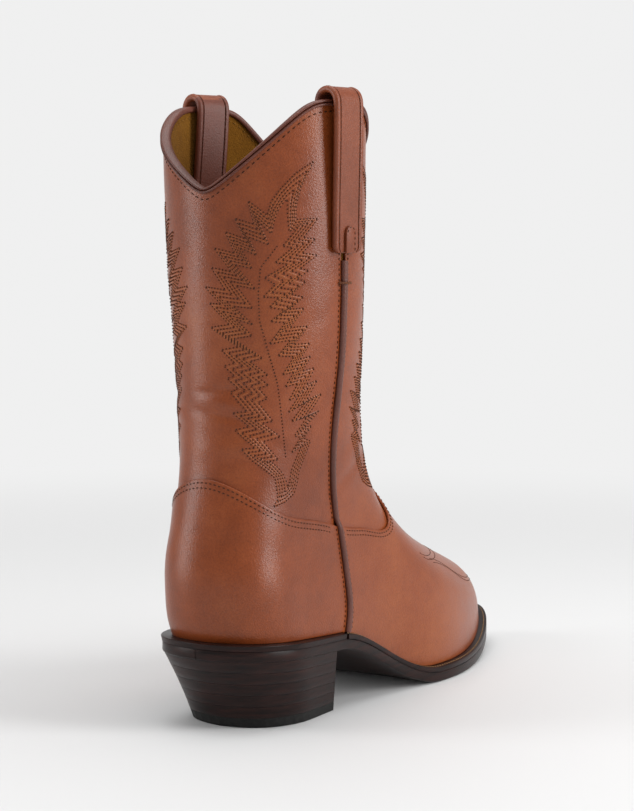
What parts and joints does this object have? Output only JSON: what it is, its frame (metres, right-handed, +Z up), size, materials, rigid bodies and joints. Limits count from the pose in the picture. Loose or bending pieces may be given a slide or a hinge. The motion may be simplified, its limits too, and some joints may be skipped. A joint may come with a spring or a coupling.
{
  "type": "cowboy boot",
  "caption": "Pull-on leather cowboy boot with an underslung stacked heel, pointed toe, scalloped collar, side-seam piping and pull straps.",
  "frame": {"origin": "centre of the heel's ground face, on the ground under the middle of the heel", "axes": "+X runs forward to the toe, +Y to the outer side of the foot, +Z up the leg"},
  "size_m": [0.296, 0.1157, 0.3212],
  "materials": {
    "upper_leather": "smooth semi-gloss",
    "trim_leather": "smooth semi-gloss",
    "thread": "waxed thread",
    "suede_lining": "brushed suede",
    "fibre_board": "dull",
    "sole_leather": "waxed and burnished",
    "cork": "dull",
    "steel": "plain",
    "heel_rubber": "matt",
    "brass": "satin"
  },
  "bodies": {
    "root": {"vamp": "upper_leather", "heel_counter": "upper_leather", "shaft_front": "upper_leather", "shaft_back": "upper_leather", "piping_inner": "trim_leather", "piping_outer": "trim_leather", "collar_binding": "trim_leather", "strap_inner": "trim_leather", "strap_outer": "trim_leather", "tab_inner": "trim_leather", "tab_outer": "trim_leather", "bar_tack_inner": "thread", "bar_tack_outer": "thread", "lining_front": "suede_lining", "lining_back": "suede_lining", "vamp_lining": "suede_lining", "heel_pad": "suede_lining", "counter_stiffener": "fibre_board", "toe_puff": "fibre_board", "insole_board": "fibre_board", "welt": "sole_leather", "heel_rand": "sole_leather", "outsole": "sole_leather", "lift_1": "sole_leather", "lift_2": "sole_leather", "lift_3": "sole_leather", "lift_4": "sole_leather", "lift_5": "sole_leather", "cork_filler": "cork", "shank": "steel", "top_lift": "heel_rubber", "heel_nails": "brass"}
  },
  "joints": []
}
